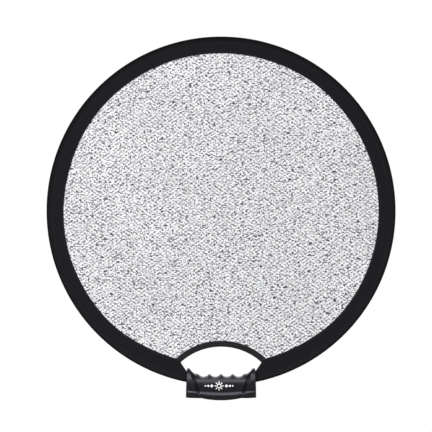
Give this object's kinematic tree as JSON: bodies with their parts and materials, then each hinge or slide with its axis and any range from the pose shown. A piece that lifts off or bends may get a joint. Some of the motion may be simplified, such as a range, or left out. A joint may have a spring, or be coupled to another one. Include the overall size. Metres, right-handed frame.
{
  "type": "collapsible reflector disc",
  "caption": "Round handheld light reflector: silver and white fabric stretched in a folding spring hoop, with a moulded finger grip at the rim.",
  "frame": {"origin": "middle of the moulded grip, in the plane where its two shells meet", "axes": "+Z from the grip up across the disc, +X along the grip, -Y the silver side's outward normal"},
  "size_m": [0.6, 0.027, 0.625],
  "materials": {
    "grip_plastic": "satin moulded, fine grain",
    "screw_steel": "black oxide",
    "ferrule_steel": "zinc plated, crimped",
    "spring_steel": "blued spring band",
    "rim_tape": "black woven polyester",
    "silver_fabric": "metallised silver, embossed",
    "white_fabric": "plain white polyester",
    "opening_tape": "black grosgrain tape",
    "thread": "black bonded polyester thread"
  },
  "bodies": {
    "lower": {"grip_front_shell": "grip_plastic", "grip_back_shell": "grip_plastic", "grip_screws": "screw_steel", "hoop_ferrule": "ferrule_steel", "hoop_lower_left": "spring_steel", "hoop_lower_right": "spring_steel", "rim_binding_lower_left": "rim_tape", "rim_binding_lower_right": "rim_tape", "silver_panel_lower": "silver_fabric", "white_panel_lower": "white_fabric", "opening_binding": "opening_tape", "opening_seam": "thread", "rim_end_seams": "thread", "corner_bartacks": "thread", "channel_seam_lower": "thread", "hem_seam_lower": "thread"},
    "upper": {"hoop_upper": "spring_steel", "rim_binding_upper": "rim_tape", "silver_panel_upper": "silver_fabric", "white_panel_upper": "white_fabric", "channel_seam_upper": "thread", "hem_seam_upper": "thread"}
  },
  "joints": [
    {"name": "disc_fold", "type": "hinge", "parent": "lower", "child": "upper", "pos_m": [0, 0, 0.305], "axis": [1, 0, 0], "range_deg": [-120, 120], "stiffness_Nm_per_rad": 2}
  ]
}
